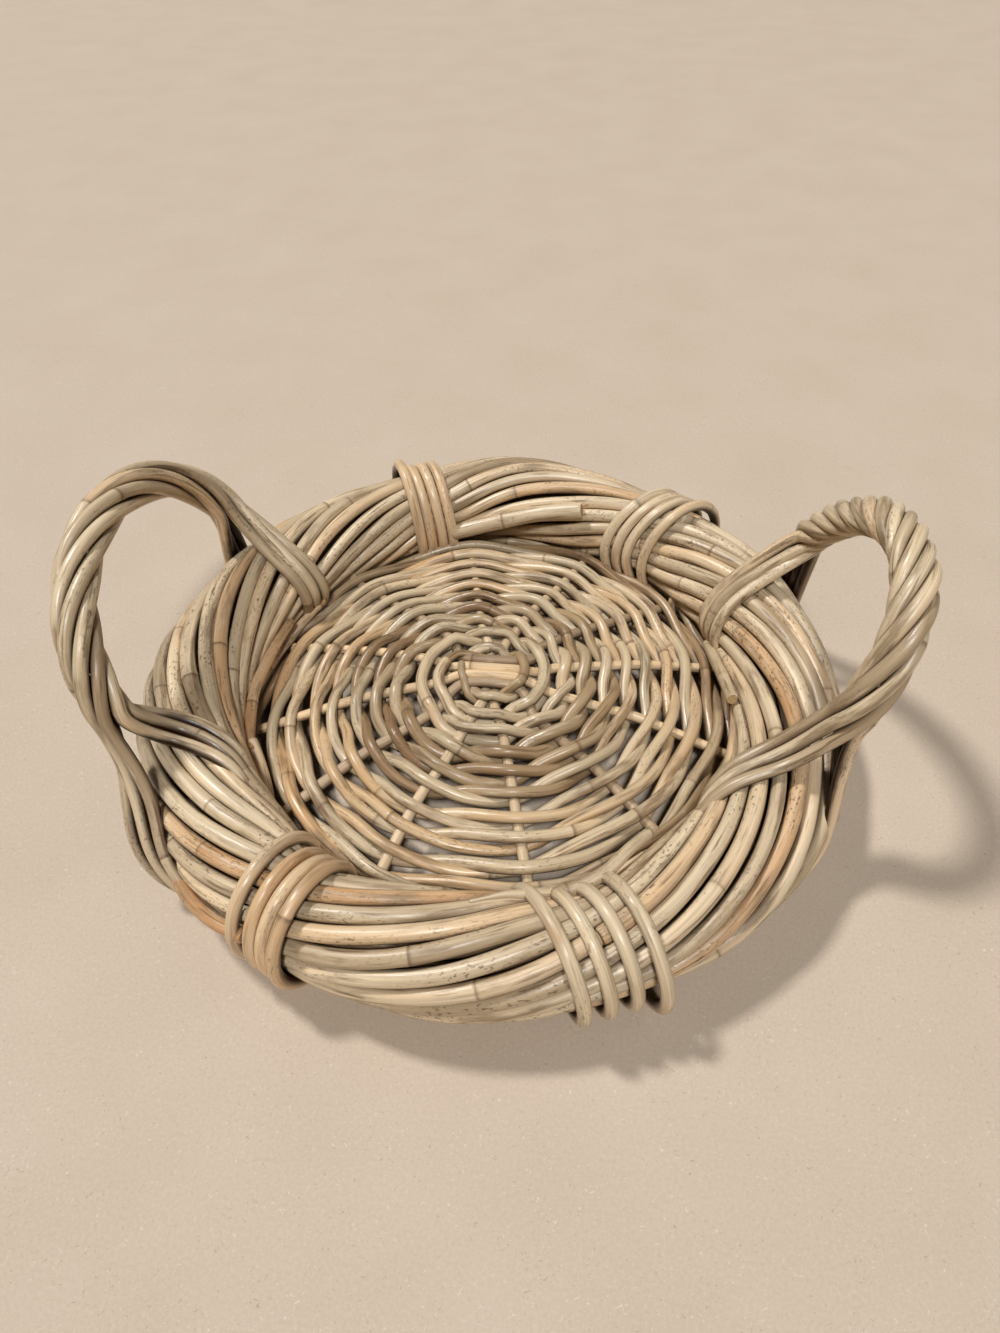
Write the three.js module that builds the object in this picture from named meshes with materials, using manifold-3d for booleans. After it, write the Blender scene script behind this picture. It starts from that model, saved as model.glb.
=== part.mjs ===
// Round wicker serving tray: a crowned woven base inside a thick rolled rim, two rope handles and
// four lashings. Millimetres, +Z up. The origin is the middle of the tray on the surface that it
// stands on, and +X runs through the middle of the right handle.

import * as THREE from 'three';
import { mergeVertices } from 'three/addons/utils/BufferGeometryUtils.js';
import Module from 'manifold-3d';

const { clamp, degToRad, lerp, smoothstep } = THREE.MathUtils;
const TURN = 2 * Math.PI;

// Fits
const CLEARANCE = 0.4;
const SEAT_GAP = 0.1;
const BUTT_GAP = 0.6;
const WEAVER_JOINT = 3;

// Rolled rim
const RIM_RADIUS = 154;
const RIM_CANE = 7.7;
const RIM_CANES = 16;
const RIM_TURNS = 2;
const RIM_STEPS = 32;

// Lashings round the rim
const LASHING_CANE = 6.2;
const LASHING_LOOPS = 4;
const LASHING_STEPS = 20;
const LASHING_START = 216;
const LASHING_STOP = 252;
const STANDING_FLAT = 0.62;
const LASHINGS = [
  { name: 'front_left_lashing', azimuth: -115.5, space: 0.6, slant: 0 },
  { name: 'front_right_lashing', azimuth: -67, space: 5.6, slant: 5 },
  { name: 'back_right_lashing', azimuth: 55.5, space: 1.8, slant: 2.5 },
  { name: 'back_left_lashing', azimuth: 113.5, space: 0.6, slant: 0 },
];

// Woven base
const STICK = 5.6;
const WEAVER = 5;
const CROWN = 20;
const EDGE_HEIGHT = 9;
const FIRST_ROW = 27;
const CROSS_STICKS = 4;
const LONG_STICKS = 2;
const FRONT_SPOKE = -74.8;
const SPOKE_SPREAD = 4.5;
const FAN_START = 16.2;
const FAN_END = 40;
const CROSSING_END = 26;
const SPREAD_START = 43;
const SPREAD_END = 85;
const GROUPED_ROUNDS = 2;
const STRAND_LAG = 2;
const STEP_START = 6;
const STEP_SPOKES = 5;
const WEAVERS_PER_STRAND = 3;

// Stakes between the base and the rim, at the spokes that have one
const STAKE = 5.6;
const STAKE_FOOT = 232;
const STAKE_SIDE = 180;
const STAKE_TOP = 10;
const STAKED_SPOKES = [1, 2, 4, 5, 7, 8, 9, 10];

// Handles
const HANDLE_CANE = 5.2;
const HANDLE_CANES = 6;
const HANDLE_RISE = 65;
const HANDLE_REACH = 183.8;
const HANDLE_STEPS = 22;
const CROTCH_ANGLE = 64;
const CROTCH_HEIGHT = 19;
const INNER_FOOT = { top: 100, end: 188 };
const OUTER_FOOT = { top: 38, end: -62 };
const FOOT_STEPS = 3;
const HANDLES = [
  { name: 'right_handle', azimuth: 0, spread: 23.5, splay: 5, turns: 2.5 },
  { name: 'left_handle', azimuth: 180, spread: 27, splay: 6.5, turns: 1.5 },
];

// Sides of a cane's faceted section, and passes that settle a size which depends on itself
const CANE_SIDES = 5;
const CORE_SIDES = 8;
const PASSES = 40;

// Finishes
const rimFinish = new THREE.MeshStandardMaterial({ color: 0xb59468, roughness: 0.5, metalness: 0 });
const coreFinish = new THREE.MeshStandardMaterial({ color: 0x7d6345, roughness: 0.7, metalness: 0 });
const baseFinish = new THREE.MeshStandardMaterial({ color: 0xa88a62, roughness: 0.5, metalness: 0 });
const stickFinish = new THREE.MeshStandardMaterial({ color: 0xcda875, roughness: 0.55, metalness: 0 });
const handleFinish = new THREE.MeshStandardMaterial({ color: 0xb3976c, roughness: 0.5, metalness: 0 });
const lashingFinish = new THREE.MeshStandardMaterial({ color: 0xb98a55, roughness: 0.48, metalness: 0 });

const tray = new THREE.Group();

// A closed tube of flat-sided section through a list of stations, square across its ends
function caneGeometry(stations, diameter, sides) {
  const route = new THREE.CatmullRomCurve3(stations);
  route.getPointAt = (t) => route.getPoint(t);
  route.getTangentAt = (t) => route.getTangent(t);
  const corners = [];
  for (let side = 0; side < sides; side++) {
    const angle = (TURN * side) / sides;
    corners.push(new THREE.Vector2(Math.cos(angle), Math.sin(angle)).multiplyScalar(diameter / 2));
  }
  const section = new THREE.Shape(corners);
  return new THREE.ExtrudeGeometry(section, { steps: stations.length - 1, extrudePath: route });
}

function addCane(name, stations, diameter, finish, sides = CANE_SIDES) {
  const cane = new THREE.Mesh(caneGeometry(stations, diameter, sides), finish);
  cane.name = name;
  tray.add(cane);
}

// Rolled rim: its canes lie side by side round a core and twist with it, so their spacing on the
// roll's inner side, where they cross it most steeply, sets the roll's size
const rimTwist = Math.round(RIM_TURNS * RIM_CANES) / RIM_CANES;
const rimStep = TURN / RIM_STEPS;
const rimFacet = Math.cos((rimTwist * rimStep) / 2);

function findRollRadius() {
  let radius = (RIM_CANES * RIM_CANE) / TURN;
  for (let pass = 0; pass < PASSES; pass++) {
    const lay = Math.atan((rimTwist * radius) / (RIM_RADIUS - radius));
    const spacing = (RIM_CANE + CLEARANCE) / Math.cos(lay);
    radius = spacing / (2 * Math.sin(Math.PI / RIM_CANES) * rimFacet);
  }
  return radius;
}

const rollRadius = findRollRadius();
const rollReach = rollRadius + RIM_CANE / 2;
const coreRadius = rollRadius * rimFacet - RIM_CANE / 2 - CLEARANCE;

// The lashings reach lowest, and the tray stands on the flats worn on their undersides
const loopFacet = Math.cos(Math.PI / LASHING_STEPS);
const loopRadius = (rollReach + LASHING_CANE / 2 + CLEARANCE) / loopFacet;
const loopReach = loopRadius + LASHING_CANE / 2;
const rollHeight = loopReach - STANDING_FLAT;

// A point beside the roll: azimuth round the tray, angle round the roll (0 out, 90 up), distance
function besideRoll(azimuth, angle, distance) {
  const reach = RIM_RADIUS + distance * Math.cos(angle);
  const height = rollHeight + distance * Math.sin(angle);
  return new THREE.Vector3(reach * Math.cos(azimuth), reach * Math.sin(azimuth), height);
}

function hoopStations(seam, angleAt, distance) {
  const buttAngle = BUTT_GAP / 2 / RIM_RADIUS;
  const stations = [];
  for (let step = 0; step <= RIM_STEPS; step++) {
    const azimuth = seam + lerp(buttAngle, TURN - buttAngle, step / RIM_STEPS);
    stations.push(besideRoll(azimuth, angleAt(azimuth), distance));
  }
  return stations;
}

function seamUnder(lashing) {
  return Math.round(degToRad(lashing.azimuth) / rimStep) * rimStep;
}

for (let i = 0; i < RIM_CANES; i++) {
  const seam = seamUnder(LASHINGS[i % LASHINGS.length]);
  const angleAt = (azimuth) => (TURN * i) / RIM_CANES + rimTwist * azimuth;
  addCane(`rim_cane_${i + 1}`, hoopStations(seam, angleAt, rollRadius), RIM_CANE, rimFinish);
}

// Core of the roll: the inner canes, packed as one hoop that the outer canes lie on
addCane('rim_core', hoopStations(seamUnder(LASHINGS[0]), () => 0, 0), 2 * coreRadius, coreFinish, CORE_SIDES);

// Lashings: each is one cane wound round the roll, flat underneath where the tray stands on it
const wasm = await Module();
wasm.setup();

function toSolid(geometry) {
  const bare = new THREE.BufferGeometry();
  bare.setAttribute('position', geometry.getAttribute('position'));
  bare.setIndex(geometry.index);
  const welded = mergeVertices(bare, 1e-4);
  const vertProperties = new Float32Array(welded.getAttribute('position').array);
  const triVerts = new Uint32Array(welded.index.array);
  return new wasm.Manifold(new wasm.Mesh({ numProp: 3, vertProperties, triVerts }));
}

function toGeometry(solid) {
  const mesh = solid.getMesh();
  const geometry = new THREE.BufferGeometry();
  geometry.setAttribute('position', new THREE.BufferAttribute(new Float32Array(mesh.vertProperties), 3));
  geometry.setIndex(new THREE.BufferAttribute(new Uint32Array(mesh.triVerts), 1));
  return geometry;
}

function lashingStations(lashing) {
  const pitch = LASHING_CANE + lashing.space;
  const loops = LASHING_LOOPS - (LASHING_STOP - LASHING_START) / 360;
  const count = Math.round(loops * LASHING_STEPS);
  const stations = [];
  for (let step = 0; step <= count; step++) {
    const turns = step / LASHING_STEPS;
    const angle = degToRad(LASHING_START) - TURN * turns;
    const along = (turns - loops / 2) * pitch - lashing.slant * Math.cos(angle);
    const skew = Math.asin(along / RIM_RADIUS);
    const reach = RIM_RADIUS * Math.cos(skew) + (loopRadius * Math.cos(angle)) / Math.cos(skew);
    stations.push(new THREE.Vector3(reach, along, rollHeight + loopRadius * Math.sin(angle)));
  }
  const headTail = (from, to) => from.clone().sub(to).setLength(LASHING_CANE).add(from);
  stations.unshift(headTail(stations[0], stations[1]));
  stations.push(headTail(stations.at(-1), stations.at(-2)));
  const upright = new THREE.Vector3(0, 0, 1);
  return stations.map((station) => station.applyAxisAngle(upright, degToRad(lashing.azimuth)));
}

// Least space between one loop and another, measured between points at least half a loop apart
function leastGap(stations, diameter) {
  const route = new THREE.CatmullRomCurve3(stations);
  const points = route.getPoints(4 * (stations.length - 1));
  const apart = 2 * LASHING_STEPS;
  let least = Infinity;
  for (let i = 0; i < points.length; i++) {
    for (let j = i + apart; j < points.length; j++) {
      least = Math.min(least, points[i].distanceTo(points[j]));
    }
  }
  return least - diameter;
}

const tableSize = 4 * RIM_RADIUS;
const tableTop = new THREE.BoxGeometry(tableSize, tableSize, RIM_RADIUS).translate(0, 0, -RIM_RADIUS / 2);
const belowTable = toSolid(tableTop);
for (const lashing of LASHINGS) {
  const stations = lashingStations(lashing);
  const winding = toSolid(caneGeometry(stations, LASHING_CANE, CANE_SIDES));
  const cane = new THREE.Mesh(toGeometry(winding.subtract(belowTable)), lashingFinish);
  cane.name = lashing.name;
  tray.add(cane);
  console.log(`${lashing.name}: least gap to itself ${leastGap(stations, LASHING_CANE).toFixed(2)} mm`);
}

// Woven base: two sheaves of sticks cross in the middle, one over the other, and fan out as spokes.
// A spoke's index counts from the front one, to the right, the back and the left. The front sheaf
// begins some spokes before it
const spokes = 2 * (CROSS_STICKS + LONG_STICKS);
const spokeStep = TURN / spokes;
const stickPitch = STICK + CLEARANCE;
const sheaves = [LONG_STICKS, CROSS_STICKS, LONG_STICKS, CROSS_STICKS];
const frontHalf = Math.floor(LONG_STICKS / 2);
const baseRise = (STICK + WEAVER) / 2 + CLEARANCE;

// The last row stays inside the lashings' loops, at the height of a weaver that passes over a spoke
const lastRowDrop = rollHeight - EDGE_HEIGHT - baseRise;
const lastRow = RIM_RADIUS - Math.sqrt((loopReach + WEAVER / 2 + CLEARANCE) ** 2 - lastRowDrop ** 2);

function crownHeight(radius) {
  return EDGE_HEIGHT + CROWN * (1 - (radius / lastRow) ** 2);
}

function crownSlope(radius) {
  return (2 * CROWN * radius) / lastRow ** 2;
}

// The sheaf that a spoke leaves the crossing with: its direction, its place there and its layer
function spokeGroup(index) {
  const round = Math.floor((index + frontHalf) / spokes);
  let first = round * spokes - frontHalf;
  let quarter = 0;
  while (index >= first + sheaves[quarter]) {
    first += sheaves[quarter];
    quarter += 1;
  }
  const middle = first + (sheaves[quarter] - 1) / 2;
  return { direction: middle * spokeStep, place: index - middle, layer: quarter % 2 === 0 ? -1 : 1 };
}

// Away from the crossing, the spokes stand wider apart at the front and the back than at the sides
function spokeAngle(index, radius) {
  const group = spokeGroup(index);
  const side = group.direction + Math.asin(clamp((group.place * stickPitch) / radius, -1, 1));
  const fan = lerp(side, index * spokeStep, smoothstep(radius, FAN_START, FAN_END));
  const share = clamp((radius - SPREAD_START) / (SPREAD_END - SPREAD_START), 0, 1);
  const spread = degToRad(SPOKE_SPREAD) * share;
  return degToRad(FRONT_SPOKE) + fan + spread * Math.sin(2 * index * spokeStep);
}

function layerHeight(radius) {
  return (stickPitch / 2) * (1 - smoothstep(radius, FAN_START, CROSSING_END));
}

function spokePoint(index, radius) {
  const angle = spokeAngle(index, radius);
  const height = crownHeight(radius) + spokeGroup(index).layer * layerHeight(radius);
  return new THREE.Vector3(radius * Math.cos(angle), radius * Math.sin(angle), height);
}

// A staked spoke runs on to its stake, and the others end just inside the lashings' loops
const stakeDistance = rollReach + STAKE / 2 + SEAT_GAP;

function stakeStations(azimuth) {
  const middle = (STAKE_FOOT + STAKE_SIDE) / 2;
  const facet = Math.cos(degToRad(STAKE_FOOT - middle) / 2);
  const angles = [STAKE_FOOT, middle, STAKE_SIDE];
  const stations = angles.map((angle) => besideRoll(azimuth, degToRad(angle), stakeDistance / facet));
  stations.push(stations.at(-1).clone().setZ(rollHeight + STAKE_TOP));
  return stations;
}

const [stakeFoot, stakeBend] = stakeStations(0);
const stakeTilt = Math.hypot(1, (stakeFoot.x - stakeBend.x) / (stakeBend.z - stakeFoot.z));
const stakeShare = (EDGE_HEIGHT + STICK / 2 - stakeFoot.z) / (stakeBend.z - stakeFoot.z);
const stakedEnd = lerp(stakeFoot.x, stakeBend.x, stakeShare) - (STAKE / 2) * stakeTilt - SEAT_GAP;
const plainDrop = rollHeight - EDGE_HEIGHT - STICK / 2;
const plainEnd = RIM_RADIUS - Math.sqrt((loopReach + CLEARANCE) ** 2 - plainDrop ** 2);

function spokeEnd(index) {
  return STAKED_SPOKES.includes(index) ? stakedEnd : plainEnd;
}

function spokeStations(index) {
  const fanMiddle = (FAN_START + FAN_END) / 2;
  const spreadMiddle = (SPREAD_START + SPREAD_END) / 2;
  const radii = [FAN_START, fanMiddle, FAN_END, SPREAD_START, spreadMiddle, SPREAD_END, spokeEnd(index)];
  return radii.map((radius) => spokePoint(index, radius));
}

function addStick(name, from, to) {
  addCane(name, [...spokeStations(from).reverse(), ...spokeStations(to)], STICK, stickFinish);
}

const firstSide = LONG_STICKS - frontHalf;
const lastSide = spokes - frontHalf - 1;
const lastBack = firstSide + CROSS_STICKS + LONG_STICKS - 1;
for (let i = 0; i < CROSS_STICKS; i++) {
  addStick(`cross_stick_${i + 1}`, lastSide - i, firstSide + i);
}
for (let i = 0; i < LONG_STICKS; i++) {
  addStick(`long_stick_${i + 1}`, (spokes - frontHalf + i) % spokes, lastBack - i);
}

// Pairing: two strands go round and round, one over and one under, and swap between spokes. In the
// first rounds they take the spokes of each group together, so they swap only at the corners
function isCorner(index) {
  return spokeGroup(index).layer !== spokeGroup(index + 1).layer;
}

function swapsAt(index) {
  return index >= GROUPED_ROUNDS * spokes || isCorner(index) ? 1 : 0;
}

function swapsBefore(place) {
  const whole = Math.floor(place);
  let swaps = swapsAt(whole) * (place - whole);
  for (let index = 0; index < whole; index++) {
    swaps += swapsAt(index);
  }
  return swaps;
}

// Half the narrowest space that a strand has to swap in beside this spoke
function swapRoom(place, radius) {
  const index = Math.round(place);
  let room = Infinity;
  for (let look = index - 2; look <= index + 1; look++) {
    if (swapsAt(look)) {
      const width = spokeAngle(look + 1, radius) - spokeAngle(look, radius);
      room = Math.min(room, (radius * width) / 2);
    }
  }
  return room;
}

// How far a strand stands over a spoke so that it clears it on the way down as well, also where it
// swaps on the inner side of its row. At the crossing it changes layers too, close beside a sheaf
function strandRise(place, row) {
  const radius = row - strandAside(baseRise);
  const room = swapRoom(place, radius);
  let rise = baseRise;
  for (let pass = 0; pass < PASSES; pass++) {
    const slope = (rise + layerHeight(radius)) / room;
    rise = baseRise * Math.hypot(1, slope);
  }
  return rise * Math.hypot(1, crownSlope(radius));
}

// How far the two strands stand aside where they pass each other
function strandAside(rise) {
  const apart = WEAVER + CLEARANCE;
  return apart / 2 / Math.sqrt(1 - (apart / (2 * rise)) ** 2);
}

// Each round is a circle for most of its way, and steps out to the next one along the left side
const closestPitch = 2 * strandAside(baseRise) + WEAVER + CLEARANCE;
const rounds = Math.floor((lastRow - FIRST_ROW) / closestPitch);
const rowPitch = (lastRow - FIRST_ROW) / rounds;
const lastPlace = rounds * spokes + STEP_START;

function rowRadius(place) {
  const round = Math.floor(place / spokes);
  const step = smoothstep(place - round * spokes, STEP_START, STEP_START + STEP_SPOKES);
  return FIRST_ROW + rowPitch * (round + step);
}

function strandPoint(strand, place) {
  const row = rowRadius(place);
  const before = Math.floor(place);
  const share = place - before;
  const rise = strandRise(place, row);
  const swap = Math.PI * (swapsBefore(place) + strand);
  const radius = row + strandAside(rise) * Math.sin(swap);
  const angle = lerp(spokeAngle(before, row), spokeAngle(before + 1, row), share);
  const layer = lerp(spokeGroup(before).layer, spokeGroup(before + 1).layer, share) * layerHeight(row);
  const height = crownHeight(radius) + layer + rise * Math.cos(swap);
  return new THREE.Vector3(radius * Math.cos(angle), radius * Math.sin(angle), height);
}

// A strand is several weavers long, and a new one starts where the strand is under a spoke. The
// second strand starts later than the first, over the next group
function weaverStart(strand, weaver) {
  if (weaver === 0) {
    return strand * STRAND_LAG;
  }
  if (weaver === WEAVERS_PER_STRAND) {
    return lastPlace;
  }
  const radius = Math.sqrt(lerp(FIRST_ROW ** 2, lastRow ** 2, weaver / WEAVERS_PER_STRAND));
  const place = Math.round(((radius - FIRST_ROW) / rowPitch) * spokes);
  return (Math.round(swapsBefore(place)) + strand) % 2 === 1 ? place : place + 1;
}

function weaverStations(strand, weaver) {
  const start = weaverStart(strand, weaver);
  const stop = weaverStart(strand, weaver + 1);
  const stations = [];
  for (let place = start; place <= stop; place += 0.5) {
    stations.push(strandPoint(strand, place));
  }
  const trim = (end, next) => end.lerp(next, WEAVER_JOINT / 2 / end.distanceTo(next));
  trim(stations[0], stations[1]);
  trim(stations.at(-1), stations.at(-2));
  return stations;
}

for (let weaver = 0; weaver < WEAVERS_PER_STRAND; weaver++) {
  addCane(`weaver_${weaver + 1}_a`, weaverStations(0, weaver), WEAVER, baseFinish);
  addCane(`weaver_${weaver + 1}_b`, weaverStations(1, weaver), WEAVER, baseFinish);
}

// Stakes: short canes that stand on the ends of the spokes, against the inside of the roll
for (const index of STAKED_SPOKES) {
  addCane(`stake_${index}`, stakeStations(spokeAngle(index, lastRow)), STAKE, baseFinish);
}

// Handles: six canes twisted into a rope over a leaning arch. At each foot three of them cross the
// roll to the inside and three go down the outside. A rope has whole turns and a half, so that a
// cane which starts inside ends outside
const crotchDistance = rollReach + CROTCH_HEIGHT;
const footDistance = rollReach + HANDLE_CANE / 2 + CLEARANCE;

function twistOf(handle) {
  return Math.floor(handle.turns) + 0.5;
}

function archOf(handle) {
  const crotch = besideRoll(degToRad(handle.spread), degToRad(CROTCH_ANGLE), crotchDistance);
  const lean = Math.asin((HANDLE_REACH - crotch.x) / HANDLE_RISE);
  const up = new THREE.Vector3(Math.sin(lean), 0, Math.cos(lean));
  const out = new THREE.Vector3(Math.cos(lean), 0, -Math.sin(lean));
  const middle = new THREE.Vector3(crotch.x, 0, crotch.z);
  return { middle, up, out, halfWidth: crotch.y };
}

function ropeRadius(arch, twist) {
  const length = (Math.PI * (arch.halfWidth + HANDLE_RISE)) / 2;
  const facet = Math.cos((Math.PI * twist) / HANDLE_STEPS);
  let radius = HANDLE_CANE;
  for (let pass = 0; pass < PASSES; pass++) {
    const lay = Math.atan((TURN * radius * twist) / length);
    const spacing = (HANDLE_CANE + CLEARANCE) / Math.cos(lay);
    radius = spacing / (2 * Math.sin(Math.PI / HANDLE_CANES) * facet);
  }
  return radius;
}

function ropePoint(arch, rope, share, angle) {
  const sweep = Math.PI * share;
  const across = new THREE.Vector3(0, 1, 0);
  const axis = arch.middle.clone();
  axis.addScaledVector(across, arch.halfWidth * Math.cos(sweep));
  axis.addScaledVector(arch.up, HANDLE_RISE * Math.sin(sweep));
  const along = across.multiplyScalar(-arch.halfWidth * Math.sin(sweep));
  along.addScaledVector(arch.up, HANDLE_RISE * Math.cos(sweep)).normalize();
  const inward = arch.out.clone().cross(along);
  axis.addScaledVector(arch.out, rope * Math.cos(angle));
  return axis.addScaledVector(inward, rope * Math.sin(angle));
}

// Stations of one cane's foot, from the rope down: side is 1 for the foot at +Y of a handle that is
// not yet turned to its azimuth, and -1 for the other. The feet at the front splay to the front
function footStations(handle, side, angle) {
  const inside = Math.cos(angle) < 0;
  const run = inside ? INNER_FOOT : OUTER_FOOT;
  const narrow = inside ? RIM_RADIUS - footDistance : RIM_RADIUS + footDistance * Math.cos(degToRad(run.end));
  const slot = Math.round((2 * Math.sin(angle)) / Math.sqrt(3));
  const shift = (slot * (HANDLE_CANE + CLEARANCE)) / narrow;
  const splay = side * Math.cos(degToRad(handle.azimuth)) < 0 ? degToRad(handle.splay) : 0;
  const facet = Math.cos(degToRad(run.end - run.top) / FOOT_STEPS / 2);
  const stations = [];
  for (let step = 0; step <= FOOT_STEPS; step++) {
    const place = degToRad(lerp(run.top, run.end, step / FOOT_STEPS));
    const azimuth = degToRad(handle.spread) - shift + (splay * step) / FOOT_STEPS;
    stations.push(besideRoll(side * azimuth, place, footDistance / facet));
  }
  return stations;
}

for (const handle of HANDLES) {
  const arch = archOf(handle);
  const twist = twistOf(handle);
  const rope = ropeRadius(arch, twist);
  const upright = new THREE.Vector3(0, 0, 1);
  for (let i = 0; i < HANDLE_CANES; i++) {
    const startAngle = (TURN * i) / HANDLE_CANES;
    const stations = footStations(handle, 1, startAngle).reverse();
    for (let step = 0; step <= HANDLE_STEPS; step++) {
      const share = step / HANDLE_STEPS;
      stations.push(ropePoint(arch, rope, share, startAngle - TURN * twist * share));
    }
    stations.push(...footStations(handle, -1, startAngle - TURN * twist));
    for (const station of stations) {
      station.applyAxisAngle(upright, degToRad(handle.azimuth));
    }
    addCane(`${handle.name}_cane_${i + 1}`, stations, HANDLE_CANE, handleFinish);
  }
}

export default tray;
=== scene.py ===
import bisect
import math
import random

import bmesh
import bpy
from mathutils import Matrix, Vector


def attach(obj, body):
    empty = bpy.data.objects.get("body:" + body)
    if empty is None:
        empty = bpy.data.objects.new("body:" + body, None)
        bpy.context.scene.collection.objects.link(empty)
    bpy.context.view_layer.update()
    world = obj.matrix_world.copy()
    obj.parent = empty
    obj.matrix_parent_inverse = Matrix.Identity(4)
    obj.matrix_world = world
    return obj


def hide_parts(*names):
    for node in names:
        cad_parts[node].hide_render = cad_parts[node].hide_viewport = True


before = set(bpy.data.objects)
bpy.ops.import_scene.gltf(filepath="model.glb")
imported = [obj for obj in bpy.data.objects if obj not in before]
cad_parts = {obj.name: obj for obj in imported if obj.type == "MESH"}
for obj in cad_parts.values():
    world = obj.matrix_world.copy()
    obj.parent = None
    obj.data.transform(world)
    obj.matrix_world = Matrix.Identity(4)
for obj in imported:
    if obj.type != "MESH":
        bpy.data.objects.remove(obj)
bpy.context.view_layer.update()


# Base sticks: six peeled canes that cross in the middle, four over two, and fan out as the
# twelve spokes of the base. They are pale and matt, and only the weaving holds them.
STICK = 0.0056
STICK_PITCH = 0.0057
STICK_STEPS = 8
CROSS_STICKS = 4
LONG_STICKS = 2
SPOKES = 2 * (CROSS_STICKS + LONG_STICKS)
SHEAVES = (LONG_STICKS, CROSS_STICKS, LONG_STICKS, CROSS_STICKS)
FRONT_HALF = LONG_STICKS // 2
FRONT_SPOKE = math.radians(-74.8)
SPOKE_LEANS = (0, 4, 4, 1, -4.5, -6, -1.5, 3, 1.5, -0.5, -4, -4.5)
FAN_START = 0.0135
FAN_END = 0.034
CROSSING_END = 0.021
SPREAD_START = 0.036
SPREAD_END = 0.085
EDGE_ROW = 0.1325
EDGE_HEIGHT = 0.0122
CROWN = 0.0190
SPOKE_END = 0.136
BASE_SHIFT = 0.006
BACK_STRETCH = 0.036
BACK_RISE = 0.004
EDGE_SHIFT_LOSS = 0.6


class Wire:
    """A socket of a material. Sums and products of wires add their Math nodes beside it."""

    def __init__(self, socket):
        self.socket = socket

    def feed(self, value):
        if isinstance(value, Wire):
            self.socket.id_data.links.new(value.socket, self.socket)
        else:
            self.socket.default_value = value

    def node(self, kind, settings=None, output=0, **inputs):
        """Any node: its settings come first, then its sockets by name, or by number as in i0."""
        made = self.socket.id_data.nodes.new("ShaderNode" + kind)
        for name, value in (settings or {}).items():
            if name != "stops":
                setattr(made, name, value)
                continue
            first, *middle, last = value
            points = made.color_ramp.elements
            points[0].position, points[0].color = first
            points[1].position, points[1].color = last
            for place, colour in middle:
                points.new(place).color = colour
        for name, value in inputs.items():
            number = name[1:]
            key = int(number) if number.isdigit() else name.replace("_", " ")
            Wire(made.inputs[key]).feed(value)
        return Wire(made.outputs[output])

    def reckon(self, operation, first, second):
        return self.node("Math", {"operation": operation}, i0=first, i1=second)

    def __add__(self, other):
        return self.reckon("ADD", self, other)

    def __radd__(self, other):
        return self.reckon("ADD", other, self)

    def __sub__(self, other):
        return self.reckon("SUBTRACT", self, other)

    def __rsub__(self, other):
        return self.reckon("SUBTRACT", other, self)

    def __mul__(self, other):
        return self.reckon("MULTIPLY", self, other)

    def __rmul__(self, other):
        return self.reckon("MULTIPLY", other, self)

    def within(self, low, high):
        """0 below low, 1 above high and smooth between them."""
        settings = {"interpolation_type": "SMOOTHSTEP"}
        return self.node("MapRange", settings, Value=self, From_Min=low, From_Max=high)

    def toward(self, colour, other):
        """The first colour where this wire is 0, the other where it is 1."""
        return self.node("Mix", {"data_type": "RGBA"}, output=2, i0=self, i6=colour, i7=other)


def pigment(red, green, blue):
    """A colour as it is seen, out of 255, made linear for the shader."""
    linear = []
    for level in (red, green, blue):
        share = level / 255
        linear.append(share / 12.92 if share <= 0.04045 else ((share + 0.055) / 1.055) ** 2.4)
    return (*linear, 1.0)


BLOTCH_BROWN = pigment(96, 68, 42)
SCUFF_PALE = pigment(236, 220, 196)
SPECK_BROWN = pigment(76, 55, 36)
JOINT_BROWN = pigment(104, 74, 46)
# Painted shade: the deep brown laid on the hidden side of every cane.
PAINTED_SHADE_BROWN = pigment(46, 24, 7)


def new_finish(name):
    finish = bpy.data.materials.new(name)
    finish.use_nodes = True
    finish.node_tree.nodes.clear()
    output = finish.node_tree.nodes.new("ShaderNodeOutputMaterial")
    return finish, Wire(output.inputs["Surface"])


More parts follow.
